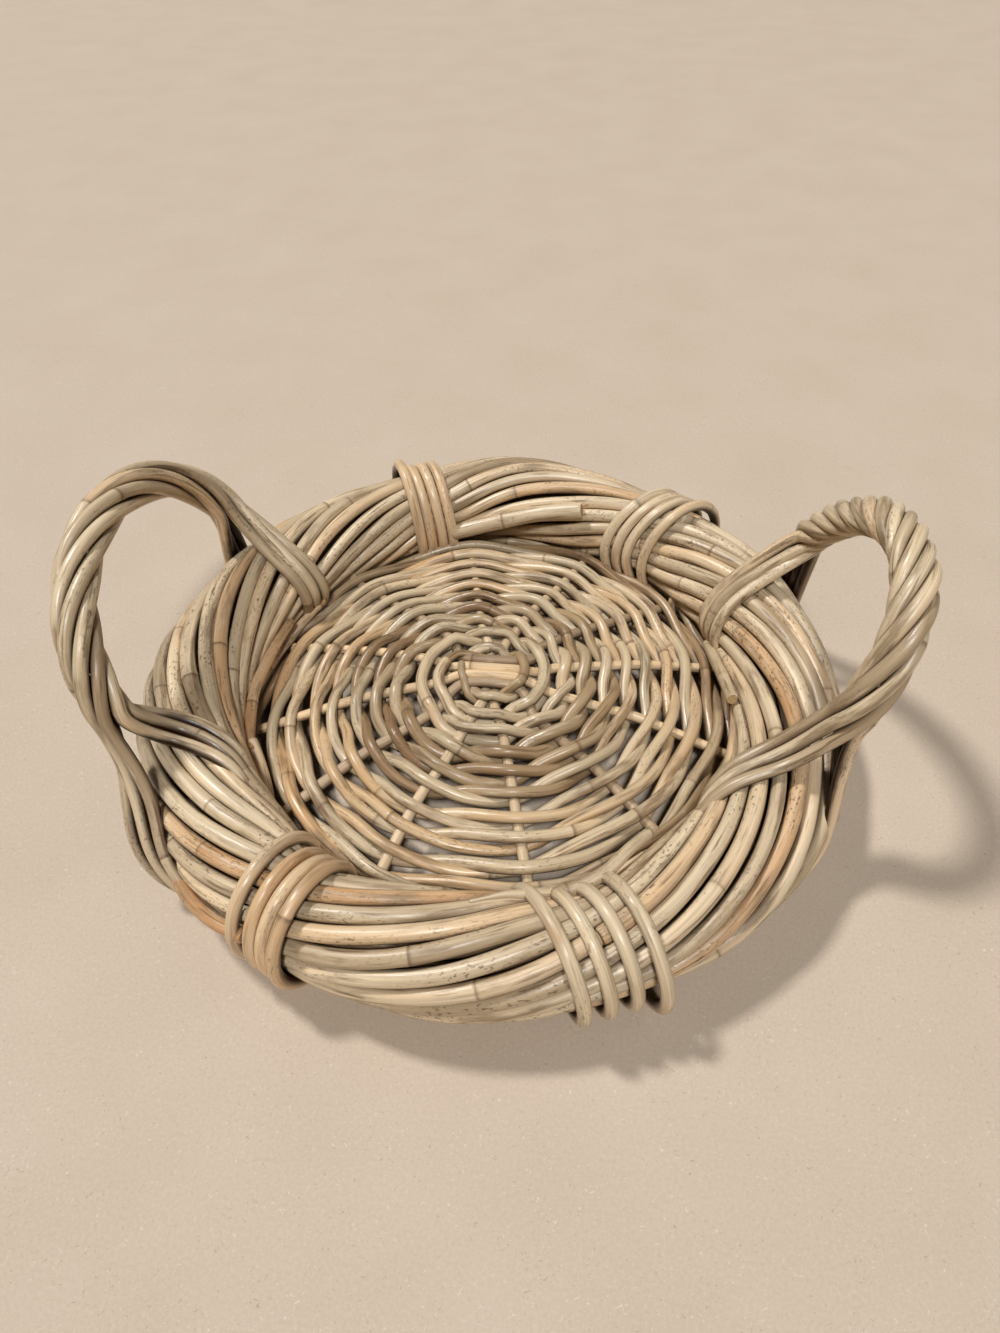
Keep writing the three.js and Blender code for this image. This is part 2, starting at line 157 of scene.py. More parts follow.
def cane_finish(name, stops, stain, stains, specks, gloss):
    """Cane: a tone along each length, fibres, stains, dark specks, brown joint rings and painted
    shade on its hidden side.
    """
    finish, surface = new_finish(name)
    grain = surface.node("Attribute", {"attribute_name": "grain"}, output="Vector")
    tint = surface.node("Attribute", {"attribute_name": "tint"}, output="Fac")
    joint = surface.node("Attribute", {"attribute_name": "joint"}, output="Fac")
    grime = surface.node("Attribute", {"attribute_name": "grime"}, output="Fac")

    def pattern(along, across, detail):
        stretch = (along, across, across)
        spread = grain.node("VectorMath", {"operation": "MULTIPLY"}, i0=grain, i1=stretch)
        return grain.node("TexNoise", Vector=spread, Scale=1.0, Detail=detail, Roughness=0.55)

    slow = pattern(13, 90, 2)
    fibre = pattern(24, 1500, 3)
    streak = pattern(7, 620, 3)
    weathered = pattern(34, 190, 5).within(0.5, 0.7) * stains
    freckled = pattern(15, 60, 2).within(0.45, 0.62)
    speck = pattern(430, 920, 1).within(0.58, 0.69) * freckled * specks
    blotch = pattern(30, 460, 5).within(0.56, 0.68) * stains
    scuff = pattern(44, 420, 3).within(0.6, 0.72) * 0.45
    tone = surface.node("ValToRGB", {"stops": stops}, Fac=tint + (slow - 0.5) * 0.6)
    tone = weathered.toward(tone, stain)
    tone = (blotch * 0.8).toward(tone, BLOTCH_BROWN)
    tone = scuff.toward(tone, SCUFF_PALE)
    shade = 0.4 + fibre * 0.54 + streak * 0.66
    tone = surface.node("VectorMath", {"operation": "SCALE"}, i0=tone, i3=shade)
    tone = (speck * 0.75).toward(tone, SPECK_BROWN)
    tone = (joint * 0.65).toward(tone, JOINT_BROWN)
    # Painted shade: the hidden side of each cane, turned away from the light, is darkened towards a
    # deep brown.
    tone = (grime * (0.74 + slow * 0.6)).toward(tone, PAINTED_SHADE_BROWN)
    rough = gloss + weathered * 0.2 + joint * 0.15 + (fibre - 0.5) * 0.25
    relief = pattern(60, 3000, 1) * 0.5 + fibre - speck * 1.2 + pattern(260, 420, 3) * 0.6
    normal = surface.node("Bump", Strength=0.35, Distance=0.00022, Height=relief)
    shader = surface.node("BsdfPrincipled", Base_Color=tone, Roughness=rough, Normal=normal)
    surface.feed(shader)
    return finish


def cut_finish(name, pith, pore):
    """The cut end of a cane: pale pith with the dark mouths of its pores."""
    finish, surface = new_finish(name)
    grain = surface.node("Attribute", {"attribute_name": "grain"}, output="Vector")
    cells = surface.node("TexVoronoi", Vector=grain, Scale=2300.0)
    pores = 1 - cells.within(0.18, 0.42)
    dust = surface.node("TexNoise", Vector=grain, Scale=420.0, Detail=3.0)
    tone = (pores * 0.7 + dust * 0.3).toward(pith, pore)
    normal = surface.node("Bump", Strength=0.4, Distance=0.0003, Height=1 - pores)
    shader = surface.node("BsdfPrincipled", Base_Color=tone, Roughness=0.8, Normal=normal)
    surface.feed(shader)
    return finish


def flowing_line(stations, steps):
    """A smooth line through the stations, with as many steps between each two."""
    line = []
    last = len(stations) - 1
    for index in range(last):
        before, start = stations[max(index - 1, 0)], stations[index]
        stop, after = stations[index + 1], stations[min(index + 2, last)]
        for step in range(steps):
            t = step / steps
            bend = 2 * before - 5 * start + 4 * stop - after
            twist = 3 * start - before - 3 * stop + after
            line.append(start + 0.5 * (t * (stop - before) + t * t * bend + t ** 3 * twist))
    line.append(stations[last])
    return line


def bell(distance, width):
    return math.exp(-((distance / width) ** 2))


def smooth_share(value, low, high):
    share = min(max((value - low) / (high - low), 0.0), 1.0)
    return share * share * (3 - 2 * share)


CANE_SIDES = 14
JOINT_STEPS = (-0.006, -0.0035, -0.002, -0.0011, -0.0005, 0, 0.0005, 0.0011, 0.002, 0.0035, 0.006)
END_STEPS = (0.0003, 0.0007, 0.0013, 0.0022)
LEAST_STEP = 0.00025
HEADING_STEP = 0.002
JOINT_STRENGTHS = (0.5, 1.2)
JOINT_SWELL = 0.07
SWELL_SPAN = 0.0028
JOINT_GROOVE = 0.05
GROOVE_SPAN = 0.0006
RING_BEHIND = 0.0004
RING_SPAN = 0.0007
SMEAR_MOST = 0.6
SMEAR_LENGTH = 0.004
TONE_SHIFT = 0.1
WAVE_LENGTHS = (0.05, 0.2)
OVAL_MOST = 0.05
GRAIN_SHIFT = 40
GIRTH_DRIFT = 0.035
END_ROUNDING = 0.13
END_REACH = 0.0014
TIP_REACH = 0.025
# How far round a cane the painted shade reaches, from its lit side to its hidden side.
SHADE_FROM = -0.46
SHADE_TO = 0.6


def new_shell():
    shell = bmesh.new()
    shell.verts.layers.float_vector.new("grain")
    shell.verts.layers.float.new("tint")
    shell.verts.layers.float.new("joint")
    # This layer holds the painted shade on each cane's hidden side.
    shell.verts.layers.float.new("grime")
    return shell


def joint_relief(distance):
    """How far a cane stands out beside a joint, which is a groove in a swelling."""
    return JOINT_SWELL * bell(distance, SWELL_SPAN) - JOINT_GROOVE * bell(distance, GROOVE_SPAN)


def lay_cane(shell, line, diameter, tint, seed, spacing=0.0045, sway=0.0003,
             tips=(1, 1), joints=(0.09, 0.24), outward=None):
    """One cane drawn along a line as rings of points: swollen at its joints and cut at both ends.
    It is darkened with painted shade on the side that faces away from outward."""
    chance = random.Random(seed)
    lengths = [0.0]
    for near, far in zip(line, line[1:]):
        lengths.append(lengths[-1] + (far - near).length)
    whole = lengths[-1]

    def spot(run):
        index = min(max(bisect.bisect_right(lengths, run) - 1, 0), len(line) - 2)
        share = (run - lengths[index]) / (lengths[index + 1] - lengths[index])
        return line[index].lerp(line[index + 1], share)

    swellings = []
    run = chance.uniform(*joints) * chance.random()
    while run < whole:
        swellings.append((run, chance.uniform(*JOINT_STRENGTHS)))
        run += chance.uniform(*joints)
    count = max(round(whole / spacing), 4)
    runs = [whole * step / count for step in range(count + 1)]
    runs += [swelling + step for swelling, strength in swellings for step in JOINT_STEPS]
    runs += list(END_STEPS) + [whole - step for step in END_STEPS]
    kept = []
    for run in sorted(runs):
        if 0 <= run <= whole and (not kept or run - kept[-1] > LEAST_STEP):
            kept.append(run)
    tones = [chance.uniform(-TONE_SHIFT, TONE_SHIFT) for length in range(len(swellings) + 1)]
    smears = [chance.uniform(0, SMEAR_MOST) for swelling in swellings]
    starts = [at for at, strength in swellings]
    waves = [(chance.uniform(*WAVE_LENGTHS), chance.uniform(0, math.tau)) for wave in range(9)]
    oval = chance.uniform(-OVAL_MOST, OVAL_MOST)
    shift = chance.uniform(0, GRAIN_SHIFT)

    def drift(run, first):
        three = waves[first:first + 3]
        return sum(math.sin(math.tau * run / wave + phase) for wave, phase in three) / 3

    grain = shell.verts.layers.float_vector["grain"]
    tone = shell.verts.layers.float["tint"]
    ringed = shell.verts.layers.float["joint"]
    shaded = shell.verts.layers.float["grime"]
    ring, normal = None, None
    for run in kept:
        ahead, behind = spot(min(run + HEADING_STEP, whole)), spot(max(run - HEADING_STEP, 0))
        tangent = (ahead - behind).normalized()
        normal = tangent.orthogonal() if normal is None else normal
        normal = (normal - tangent * normal.dot(tangent)).normalized()
        side = tangent.cross(normal)
        place = spot(run) + sway * (normal * drift(run, 0) + side * drift(run, 3))
        swell = sum(strength * joint_relief(run - at) for at, strength in swellings)
        mark = sum(strength * bell(run - at - RING_BEHIND, RING_SPAN) for at, strength in swellings)
        passed = bisect.bisect_right(starts, run)
        if passed:
            mark += smears[passed - 1] * math.exp((starts[passed - 1] - run) / SMEAR_LENGTH)
        end = min(run, whole - run)
        rounding = 1 - END_ROUNDING * (1 - min(end / END_REACH, 1)) ** 2
        taper = 1 - (1 - tips[0]) * bell(run, TIP_REACH)
        taper -= (1 - tips[1]) * bell(whole - run, TIP_REACH)
        radius = diameter / 2 * (1 + GIRTH_DRIFT * drift(run, 6) + swell) * rounding * taper
        turned = Matrix((normal, side, tangent)).transposed().to_4x4()
        sized = Matrix.Diagonal((radius * (1 + oval), radius * (1 - oval), radius, 1))
        before, ring = ring, Matrix.Translation(place) @ turned @ sized
        if before is None:
            sides = {"segments": CANE_SIDES, "radius": 1, "matrix": ring}
            verts = bmesh.ops.create_circle(shell, cap_ends=True, **sides)["verts"]
            edges = list({edge for vert in verts for edge in vert.link_edges})
            faces = list({face for vert in verts for face in vert.link_faces})
        else:
            drawn = bmesh.ops.extrude_edge_only(shell, edges=edges)["geom"]
            verts = [part for part in drawn if isinstance(part, bmesh.types.BMVert)]
            edges = [part for part in drawn if isinstance(part, bmesh.types.BMEdge)]
            edges = [edge for edge in edges if edge.is_boundary]
            faces = [part for part in drawn if isinstance(part, bmesh.types.BMFace)]
            bmesh.ops.transform(shell, matrix=ring @ before.inverted(), verts=verts)
        for face in faces:
            face.smooth = before is not None
            face.material_index = 0 if before else 1
        back = ring.inverted()
        lit_side = outward(place) if outward else Vector()
        for vert in verts:
            flat = back @ vert.co
            vert[grain] = Vector((shift + run, flat.x * diameter / 2, flat.y * diameter / 2))
            vert[tone] = tint + tones[passed]
            vert[ringed] = min(mark, 1)
            # Painted shade: points turned away from outward, into the weave, the roll or the rope,
            # are darkened.
            hidden = -lit_side.dot((vert.co - place).normalized())
            vert[shaded] = smooth_share(hidden, SHADE_FROM, SHADE_TO) if outward else 0
    for face in bmesh.ops.contextual_create(shell, geom=edges)["faces"]:
        face.smooth = False
        face.material_index = 1


def set_piece(shell, name, finishes, slot, *nodes):
    """Closes a shell into a piece of the tray that stands for the named solids."""
    bmesh.ops.recalc_face_normals(shell, faces=shell.faces)
    mesh = bpy.data.meshes.new(name)
    shell.to_mesh(mesh)
    shell.free()
    for finish in finishes:
        mesh.materials.append(finish)
    piece = bpy.data.objects.new(name, mesh)
    bpy.context.scene.collection.objects.link(piece)
    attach(piece, "root")
    if nodes:
        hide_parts(*nodes)


def above(place):
    return Vector((0, 0, 1))


def crown_height(radius):
    return EDGE_HEIGHT + CROWN * (1 - (radius / EDGE_ROW) ** 2)


def base_point(radius, angle, height):
    """A point of the base. Its middle lies behind the tray's, and its back is drawn out and up."""
    edge = (radius / EDGE_ROW) ** 2
    back = BASE_SHIFT * (1 - EDGE_SHIFT_LOSS * edge)
    drawn = edge * max(math.sin(angle), 0) ** 2
    radius *= 1 + BACK_STRETCH * drawn
    across, deep = radius * math.cos(angle), radius * math.sin(angle) + back
    return Vector((across, deep, height + BACK_RISE * drawn))


def spoke_group(index):
    """The direction, place and layer of the sheaf that a spoke leaves the crossing with."""
    turn = (index + FRONT_HALF) // SPOKES
    first = turn * SPOKES - FRONT_HALF
    quarter = 0
    while index >= first + SHEAVES[quarter]:
        first += SHEAVES[quarter]
        quarter += 1
    middle = first + (SHEAVES[quarter] - 1) / 2
    return math.tau * middle / SPOKES, index - middle, 1 if quarter % 2 else -1


def spoke_angle(index, radius):
    direction, place = spoke_group(index)[:2]
    side = direction + math.asin(min(max(place * STICK_PITCH / radius, -1), 1))
    even = math.tau * index / SPOKES
    fan = side + (even - side) * smooth_share(radius, FAN_START, FAN_END)
    share = min(max((radius - SPREAD_START) / (SPREAD_END - SPREAD_START), 0), 1)
    return FRONT_SPOKE + fan + math.radians(SPOKE_LEANS[index % SPOKES]) * share


def layer_height(radius):
    return STICK_PITCH / 2 * (1 - smooth_share(radius, FAN_START, CROSSING_END))


def spoke_point(index, radius):
    angle = spoke_angle(index, radius)
    height = crown_height(radius) + spoke_group(index)[2] * layer_height(radius)
    return base_point(radius, angle, height)


def spoke_stations(index):
    fan_middle = (FAN_START + FAN_END) / 2
    spread_middle = (SPREAD_START + SPREAD_END) / 2
    radii = (FAN_START, fan_middle, FAN_END, SPREAD_START, spread_middle, SPREAD_END, SPOKE_END)
    return [spoke_point(index, radius) for radius in radii]


PEELED_STOPS = (
    (0.0, pigment(158, 133, 105)),
    (0.35, pigment(203, 175, 139)),
    (0.7, pigment(229, 203, 166)),
    (1.0, pigment(232, 199, 154)),
)
peeled_cane = cane_finish("peeled_cane", PEELED_STOPS, pigment(140, 112, 82),
                          stains=0.5, specks=0.3, gloss=0.5)
cut_pith = cut_finish("cut_pith", pigment(206, 172, 122), pigment(92, 66, 42))


def lay_stick(name, first, last, tint, node):
    stations = spoke_stations(first)[::-1] + spoke_stations(last)
    shell = new_shell()
    line = flowing_line(stations, STICK_STEPS)
    lay_cane(shell, line, STICK, tint, name, spacing=0.004, joints=(0.12, 0.3), outward=above)
    set_piece(shell, name, (peeled_cane, cut_pith), "stick_cane", node)


CROSS_TINTS = (0.25, 0.9, 0.95, 0.1)
LONG_TINTS = (0.6, 0.5)
first_side = LONG_STICKS - FRONT_HALF
last_side = SPOKES - FRONT_HALF - 1
last_back = first_side + CROSS_STICKS + LONG_STICKS - 1
for order in range(CROSS_STICKS):
    node = f"cross_stick_{order + 1}"
    left, right = last_side - order, first_side + order
    lay_stick(f"cross_spoke_{order + 1}", left, right, CROSS_TINTS[order], node)
for order in range(LONG_STICKS):
    front = (SPOKES - FRONT_HALF + order) % SPOKES
    node = f"long_stick_{order + 1}"
    lay_stick(f"long_spoke_{order + 1}", front, last_back - order, LONG_TINTS[order], node)


# Weaving: two strands of thin cane go round and round, one over and one under each spoke, and swap
# between spokes. A strand is spliced from short lengths, whose ends are tucked under a spoke.
WEAVER = 0.0063
WEAVER_RISE = 0.0045
EDGE_RISE = 0.0034
WEAVER_ASIDE = 0.0028
FIRST_ROW = 0.0176
ROUNDS = 10
STEP_START = 5
STEP_SPOKES = 5
GROUPED_ROUNDS = 3
ROW_PITCH = (EDGE_ROW - FIRST_ROW) / ROUNDS
FIRST_PLACES = (6, 8)
LAST_PLACE = SPOKES * (ROUNDS + 1) + 6
WEAVER_SHARES = (0.53, 0.78)
STRAIGHTNESS = 0.35
UNEVEN = 0.0006
UNEVEN_WAVES = ((0.83, 2.6), (0.31, 1.3))


def swaps_at(index):
    return index >= GROUPED_ROUNDS * SPOKES or spoke_group(index)[2] != spoke_group(index + 1)[2]


def swaps_before(place):
    whole = math.floor(place)
    return sum(swaps_at(index) for index in range(whole)) + swaps_at(whole) * (place - whole)


def row_radius(place):
    turn = place // SPOKES
    step = smooth_share(place - turn * SPOKES, STEP_START, STEP_START + STEP_SPOKES)
    return FIRST_ROW + ROW_PITCH * max(turn - 1 + step, 0)


def strand_point(strand, place):
    row = row_radius(place)
    before = math.floor(place)
    share = place - before
    rise = WEAVER_RISE + (EDGE_RISE - WEAVER_RISE) * row / EDGE_ROW
    swap = math.pi * (swaps_before(place) + strand)
    uneven = sum(math.sin(wave * place + lag * strand) for wave, lag in UNEVEN_WAVES)
    radius = row + WEAVER_ASIDE * math.sin(swap) + UNEVEN * uneven
    near, far = spoke_angle(before, row), spoke_angle(before + 1, row)
    angle = near + (far - near) * share
    layers = spoke_group(before)[2], spoke_group(before + 1)[2]
    layer = (layers[0] + (layers[1] - layers[0]) * share) * layer_height(row)
    height = crown_height(radius) + layer + rise * math.cos(swap)
    sag = 1 - math.cos((far - near) / 2)
    pulled = radius * (1 - STRAIGHTNESS * sag * 4 * share * (1 - share))
    return base_point(pulled, angle, height)


WOVEN_STOPS = (
    (0.0, pigment(138, 108, 78)),
    (0.2, pigment(172, 144, 108)),
    (0.45, pigment(196, 176, 144)),
    (0.7, pigment(214, 191, 156)),
    (1.0, pigment(206, 168, 122)),
)
woven_cane = cane_finish("woven_cane", WOVEN_STOPS, pigment(132, 104, 74),
                         stains=0.8, specks=0.6, gloss=0.29)
SPLICE_SPOKES = (11, 21)
WEAVER_STEPS = 6
WEAVER_TIPS = (0.7, 1)
WEAVER_SIZES = (0.86, 1.1)
WEAVER_TINTS = (0.12, 1)


def tucked_place(strand, place):
    """The first place from here on where a strand is under a spoke."""
    return place + (round(swaps_before(place)) + strand + 1) % 2


def lay_weaver(name, strand, start, stop, node):
    chance = random.Random(name)
    shell = new_shell()
    place = start
    while place < stop:
        ahead = tucked_place(strand, place + chance.randint(*SPLICE_SPOKES))
        ahead = stop if stop - ahead < SPLICE_SPOKES[0] / 2 else ahead
        halves = range(round(2 * place), round(2 * ahead) + 1)
        stations = [strand_point(strand, half / 2) for half in halves]
        tips = chance.uniform(*WEAVER_TIPS), chance.uniform(*WEAVER_TIPS)
        size = WEAVER * chance.uniform(*WEAVER_SIZES)
        tint = chance.uniform(*WEAVER_TINTS)
        line = flowing_line(stations, WEAVER_STEPS)
        length = f"{name}_{place}"
        lay_cane(shell, line, size, tint, length, spacing=0.0035, tips=tips, outward=above)
        place = ahead
    set_piece(shell, name, (woven_cane, cut_pith), "base_cane", node)


for strand, letter in enumerate("ab"):
    ends = [FIRST_PLACES[strand]]
    ends += [tucked_place(strand, round(LAST_PLACE * share)) for share in WEAVER_SHARES]
    ends.append(LAST_PLACE)
    for order in range(len(ends) - 1):
        start, stop = ends[order:order + 2]
        node = f"weaver_{order + 1}_{letter}"
        lay_weaver(f"weaving_{order + 1}_{letter}", strand, start, stop, node)


# Core of the roll: the inner canes, packed side by side round the middle and twisted with the
# roll. They are dark and unpolished, and show only in the gaps between the outer canes.
RIM_RADIUS = 0.154
ROLL_HEIGHT = 0.03255
ROLL = 0.02235
RIM_TWIST = 2
CORE_CANES = 10
CORE_CANE = 0.0079
CORE_DISTANCE = 0.0135
CORE_STEPS = 180
CORE_CIRCLE = 180.2
CORE_TINT_STEP = 0.37
LASHED_AT = tuple(math.radians(angle) for angle in (-115.5, -67, 55.5, 113.5))
SQUEEZE = 0.27
SQUEEZE_SIDE = math.radians(160)
SQUEEZE_SPAN = math.radians(9.5)
OUTER_SQUEEZE = 0.05
SLIM = 0.2
SLIM_MIDDLE = math.radians(188)
SLIM_SPAN = math.radians(24)
BOW_MIDDLE = math.radians(92)
BOW_SPAN = math.radians(15)
BOW_OUT = 0.0045
BOW_UP = 0.0035


def between_turns(angle):
    """An angle from minus half a turn to half a turn."""
    return (angle + math.pi) % math.tau - math.pi


def drawn_in(azimuth, angle):
    """The share of its reach that the roll keeps: less at a lashing, and less inside at the left."""
    inner = ((1 + math.cos(angle - SQUEEZE_SIDE)) / 2) ** 3
    outer = max(math.cos(angle), 0) ** 2
    tight = max(bell(between_turns(azimuth - at), SQUEEZE_SPAN) for at in LASHED_AT)
    slim = bell(between_turns(azimuth - SLIM_MIDDLE), SLIM_SPAN)
    return 1 - tight * (SQUEEZE * inner + OUTER_SQUEEZE * outer) - SLIM * slim * inner


def beside_roll(azimuth, angle, distance):
    """A point beside the roll: azimuth round the tray, angle round the roll (0 out, a quarter up).
    Between the back lashings the roll bows out and up."""
    distance *= drawn_in(azimuth, angle)
    bow = bell(between_turns(azimuth - BOW_MIDDLE), BOW_SPAN)
    reach = RIM_RADIUS + BOW_OUT * bow + distance * math.cos(angle)
    height = ROLL_HEIGHT + BOW_UP * bow + distance * math.sin(angle)
    return Vector((reach * math.cos(azimuth), reach * math.sin(azimuth), height))


def off_roll(place):
    """The direction from the middle of the roll to a place on it."""
    azimuth = math.atan2(place.y, place.x)
    return (place - beside_roll(azimuth, 0, 0)).normalized()


CORE_STOPS = (
    (0.0, pigment(92, 70, 48)),
    (0.5, pigment(128, 100, 68)),
    (1.0, pigment(150, 112, 70)),
)
core_cane = cane_finish("core_cane", CORE_STOPS, pigment(74, 60, 46),
                        stains=0.8, specks=0.6, gloss=0.7)
shell = new_shell()
for order in range(CORE_CANES):
    line = []
    for step in range(CORE_STEPS + 1):
        azimuth = LASHED_AT[0] + math.tau * step / CORE_CIRCLE
        angle = math.tau * order / CORE_CANES + RIM_TWIST * azimuth
        line.append(beside_roll(azimuth, angle, CORE_DISTANCE))
    lay_cane(shell, line, CORE_CANE, (order * CORE_TINT_STEP) % 1, f"core_{order}", spacing=0.007)
set_piece(shell, "roll_core", (core_cane, cut_pith), "rim_core", "rim_core")


# Rim canes: sixteen thick canes in their bark, laid side by side on the core and twisted into a
# roll. Their ends butt under the lashings, which pinch them, and they stand looser between.
RIM_CANE = 0.0079
RIM_CANES = 16
RIM_SIZES = (0.9, 1.08)
RIM_STEPS = 300
RIM_SWAY = 0.05
BUTT_GAP = 0.0006
PINCH = math.radians(13)
SLACK = 0.0009
SLACK_LEVEL = 0.6
LOOSE_SPOTS = ((math.radians(-22), math.radians(2)), (math.radians(-171), math.radians(12)))
LOOSE_SPAN = math.radians(24)
LOOSE_SIDE_SPAN = math.radians(26)
LOOSE_REACH = 0.0044


def rim_line(order, chance):
    """One cane of the roll, slack between the lashings and loose on the outside at the handles."""
    seam = LASHED_AT[order % len(LASHED_AT)]
    waves = [(chance.randint(2, 7), chance.uniform(0, math.tau)) for wave in range(6)]
    line = []
    gap = BUTT_GAP / 2 / RIM_RADIUS
    for step in range(RIM_STEPS + 1):
        azimuth = seam + gap + (math.tau - 2 * gap) * step / RIM_STEPS
        pinch = max(bell(between_turns(azimuth - at), PINCH) for at in LASHED_AT)
        lift = sum(math.sin(count * azimuth + phase) for count, phase in waves[:3]) / 3
        shift = sum(math.sin(count * azimuth + phase) for count, phase in waves[3:]) / 3
        angle = math.tau * order / RIM_CANES + RIM_TWIST * azimuth + RIM_SWAY * shift * (1 - pinch)
        loose = 0
        for middle, side in LOOSE_SPOTS:
            spread = bell(between_turns(azimuth - middle), LOOSE_SPAN)
            loose += spread * bell(between_turns(angle - side), LOOSE_SIDE_SPAN)
        distance = ROLL + SLACK * (1 - pinch) * (SLACK_LEVEL + lift) + LOOSE_REACH * loose
        line.append(beside_roll(azimuth, angle, distance))
    return line


BARK_STOPS = (
    (0.0, pigment(148, 122, 94)),
    (0.25, pigment(195, 172, 139)),
    (0.5, pigment(228, 206, 172)),
    (0.75, pigment(228, 195, 154)),
    (1.0, pigment(200, 154, 108)),
)
rim_cane = cane_finish("rim_cane", BARK_STOPS, pigment(148, 124, 94),
                       stains=0.75, specks=0.85, gloss=0.33)
RIM_TINTS = (
    0.5, 0.35, 0.62, 0.25, 0.48, 0.78, 0.4, 0.55, 0.3, 0.66, 0.45, 0.2, 0.58, 0.38, 0.8, 0.5,
)
for order in range(RIM_CANES):
    name = f"rim_rod_{order + 1}"
    chance = random.Random(name)
    shell = new_shell()
    size = RIM_CANE * chance.uniform(*RIM_SIZES)
    line = rim_line(order, chance)
    lay_cane(shell, line, size, RIM_TINTS[order], name, joints=(0.14, 0.34), outward=off_roll)
    set_piece(shell, name, (rim_cane, cut_pith), "rim_cane", f"rim_cane_{order + 1}")


# Stakes: short canes that stand on the ends of some spokes and are pushed up against the inside of
# the roll. They keep the base in its place and are darker than the rest.
STAKED_SPOKES = (1, 2, 4, 5, 7, 8, 9, 10)
STAKE = 0.0058
STAKE_FOOT = math.radians(234)
STAKE_SIDE = math.radians(196)
STAKE_DISTANCE = 0.0292
STAKE_TUCK = 0.018
STAKE_STEPS = 5
STAKE_TINTS = (0.9, 0.3, 0.7, 0.2, 0.5, 0.95, 0.85, 0.4)
for order, index in enumerate(STAKED_SPOKES):
    azimuth = spoke_angle(index, EDGE_ROW)
    stations = []
    for step in range(STAKE_STEPS + 1):
        angle = STAKE_FOOT + (STAKE_SIDE - STAKE_FOOT) * step / STAKE_STEPS
        tuck = (STAKE_DISTANCE - STAKE_TUCK) * (step / STAKE_STEPS) ** 3
        stations.append(beside_roll(azimuth, angle, STAKE_DISTANCE - tuck))
    shell = new_shell()
    node = f"stake_{index}"
    line = flowing_line(stations, STAKE_STEPS)
    lay_cane(shell, line, STAKE, STAKE_TINTS[order], node, spacing=0.003)
    set_piece(shell, f"inner_{node}", (woven_cane, cut_pith), "base_cane", node)


# Handles: six canes twisted into a rope and bent to an arch at each side. At its feet three of the
# canes cross the roll to the inside and three are led down the outside.
HANDLE_CANE = 0.0064
HANDLE_CANES = 6
ROPE = 0.0069
ROPE_FOOT = 0.0732
FOOT_DISTANCE = 0.0298
FOOT_PITCH = 0.0064
FOOT_STEPS = 5
ROPE_STEPS = 48
ROPE_ENDS = 2
HEADING_SWEEP = 0.01
LINE_STEPS = 5
EASING = 22
HANDLE_SIZES = (0.94, 1.08)


def foot(start, stop, top, low, pitch=FOOT_PITCH, stand=0.0, fan=0.0, tuck=0.0):
    """Where three canes of a foot run, round the tray and round the roll: how far they lie apart,
    stand off the roll and fan out on the way, and how deep their ends are tucked into it."""
    angles = [math.radians(angle) for angle in (start, stop, top, low)]
    return {"angles": angles, "pitch": pitch, "stand": stand, "fan": fan, "tuck": tuck}


HANDLES = (
    {
        "side": "right", "azimuth": 0, "foot": 0.1594, "reach": 0.1850, "rise": 0.0705,
        "width": 0.0640, "shift": 0.0120, "skew": 0.0140, "turns": 2.5, "quickening": 0.15,
        "inner": (
            foot(25.5, 21.5, 85, 205, tuck=0.006),
            foot(-18, -36, 72, 165, tuck=0.008),
        ),
        "outer": (foot(25.5, 28, 40, -58), foot(-19, -33, 35, -55)),
    },
    {
        "side": "left", "azimuth": 180, "foot": 0.1549, "reach": 0.1818, "rise": 0.0672,
        "width": 0.0780, "shift": 0.0052, "skew": 0.0, "turns": 1.5, "quickening": 0.08,
        "inner": (
            foot(21, 40, 52, 168, tuck=0.012),
            foot(-25, -28, 85, 213, pitch=0.0070, tuck=0.004),
        ),
        "outer": (
            foot(30, 51, 62, -56, pitch=0.0076, stand=0.005, fan=0.005),
            foot(-24.5, -27, 40, -58),
        ),
    },
)


def foot_stations(handle, end, angle):
    """Where one cane runs below the rope, from the top down, at the first or the second foot."""
    run = handle["inner" if math.cos(angle) < 0 else "outer"][end]
    start, stop, top, low = run["angles"]
    slot = round(2 * math.sin(angle) / math.sqrt(3)) * (-1 if end else 1)
    stations = []
    for step in range(1, FOOT_STEPS + 1):
        share = step / FOOT_STEPS
        place = top + (low - top) * share
        stand = (run["stand"] + slot * run["fan"]) * math.sin(math.pi * share)
        distance = FOOT_DISTANCE + stand - run["tuck"] * share ** 4
        narrow = RIM_RADIUS + distance * math.cos(place)
        run_round, run_down = (stop - start) * narrow, abs(low - top) * distance
        slope = math.hypot(run_round, run_down)
        azimuth = start + (stop - start) * share - slot * run["pitch"] * run_down / slope / narrow
        place += slot * run["pitch"] * run_round / slope / distance * (1 if low > top else -1)
        stations.append(beside_roll(azimuth, place, distance))
    return stations


def eased(line, passes):
    """The same line with its kinks taken out."""
    for turn in range(passes):
        middle = [(a + 2 * b + c) / 4 for a, b, c in zip(line, line[1:], line[2:])]
        line = [line[0], *middle, line[-1]]
    return line


